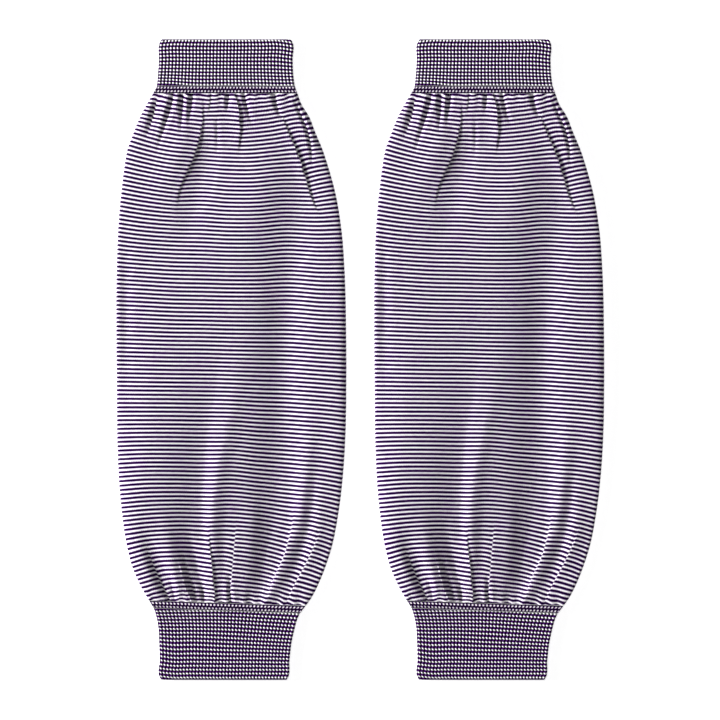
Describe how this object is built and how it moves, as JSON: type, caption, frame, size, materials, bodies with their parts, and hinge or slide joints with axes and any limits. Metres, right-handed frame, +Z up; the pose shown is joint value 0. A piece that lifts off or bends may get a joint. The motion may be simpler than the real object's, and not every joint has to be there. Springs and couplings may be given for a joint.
{
  "type": "pair of knitted protective oversleeves",
  "caption": "Loose seamless knitted tubes with narrow purple and white stripes, gathered at both ends into ribbed cuffs and lying flat side by side.",
  "frame": {"origin": "on the surface the sleeves lie on, under the centre of the pair's bounding box", "axes": "+Y runs along both sleeves towards the upper, shorter cuffs, +X runs across the pair from the left sleeve to the right one, and +Z points up from the surface"},
  "size_m": [0.3048, 0.4, 0.0077],
  "materials": {
    "striped_knit": "matte striped knit",
    "ribbed_knit": "matte two-colour rib knit",
    "linking_courses": "matte dark looped knit"
  },
  "bodies": {
    "root": {"left_upper_cuff": "ribbed_knit", "left_upper_band": "linking_courses", "left_body": "striped_knit", "left_lower_band": "linking_courses", "left_lower_cuff": "ribbed_knit", "right_upper_cuff": "ribbed_knit", "right_upper_band": "linking_courses", "right_body": "striped_knit", "right_lower_band": "linking_courses", "right_lower_cuff": "ribbed_knit"}
  },
  "joints": []
}
